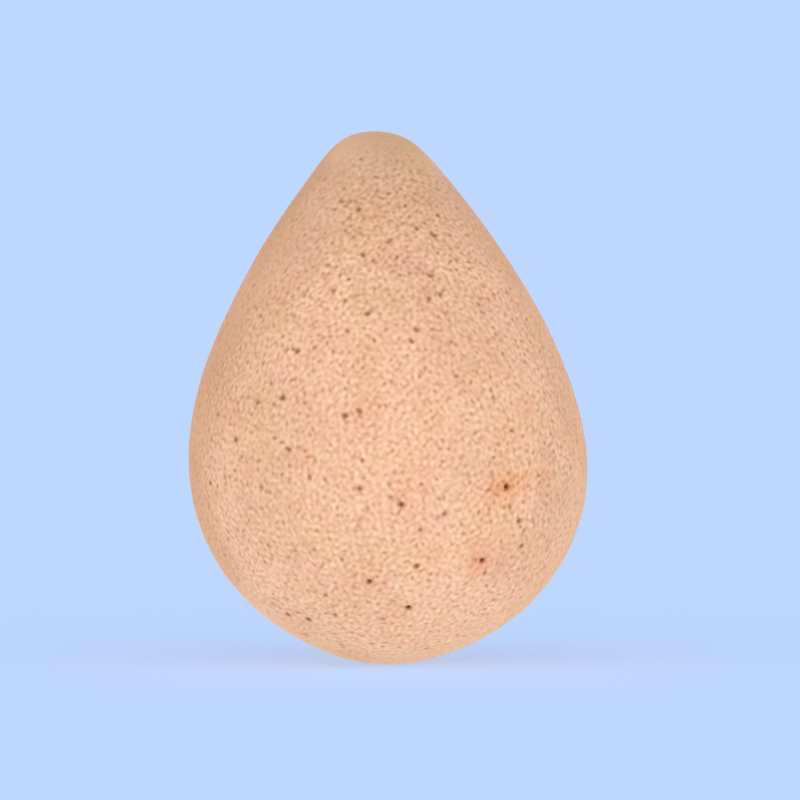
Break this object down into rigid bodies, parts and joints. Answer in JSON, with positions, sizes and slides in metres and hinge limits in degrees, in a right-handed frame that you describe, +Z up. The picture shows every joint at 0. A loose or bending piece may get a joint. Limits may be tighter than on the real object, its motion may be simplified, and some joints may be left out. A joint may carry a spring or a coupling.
{
  "type": "facial cleansing sponge",
  "caption": "Teardrop-shaped facial cleansing sponge of fine open-cell foam, with a narrow tip and a broad round base.",
  "frame": {"origin": "centre of the small flat at the middle of the broad round base, on which the sponge stands", "axes": "+Z up from the base to the tip, +X to the right as seen from the front, -Y to the front; the tip leans 1.7 mm towards -X"},
  "size_m": [0.045, 0.045, 0.06],
  "materials": {
    "foam": "matt open-cell foam"
  },
  "bodies": {
    "root": {"foam_body": "foam"}
  },
  "joints": []
}
